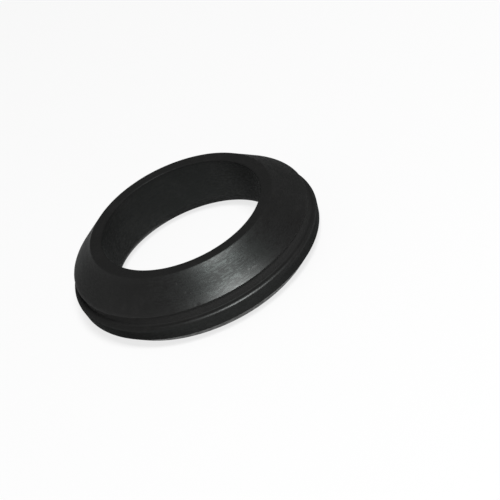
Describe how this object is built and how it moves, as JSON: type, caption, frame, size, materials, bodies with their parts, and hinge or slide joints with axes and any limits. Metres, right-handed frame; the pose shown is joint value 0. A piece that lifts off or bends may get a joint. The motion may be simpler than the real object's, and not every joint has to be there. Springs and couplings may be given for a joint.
{
  "type": "rubber grommet",
  "caption": "Push-in rubber ring with a conical nose, a panel groove, a thick bevelled flange and a wide bore for a pipe, hose or cable bundle.",
  "frame": {"origin": "centre of the bore in the plane of the flange's foot, on which the ring lies", "axes": "+Z along the bore axis, from the foot of the flange to the rim of the nose"},
  "size_m": [0.0696, 0.0696, 0.017],
  "materials": {
    "rubber": "satin moulded black rubber"
  },
  "bodies": {
    "root": {"grommet": "rubber"}
  },
  "joints": []
}
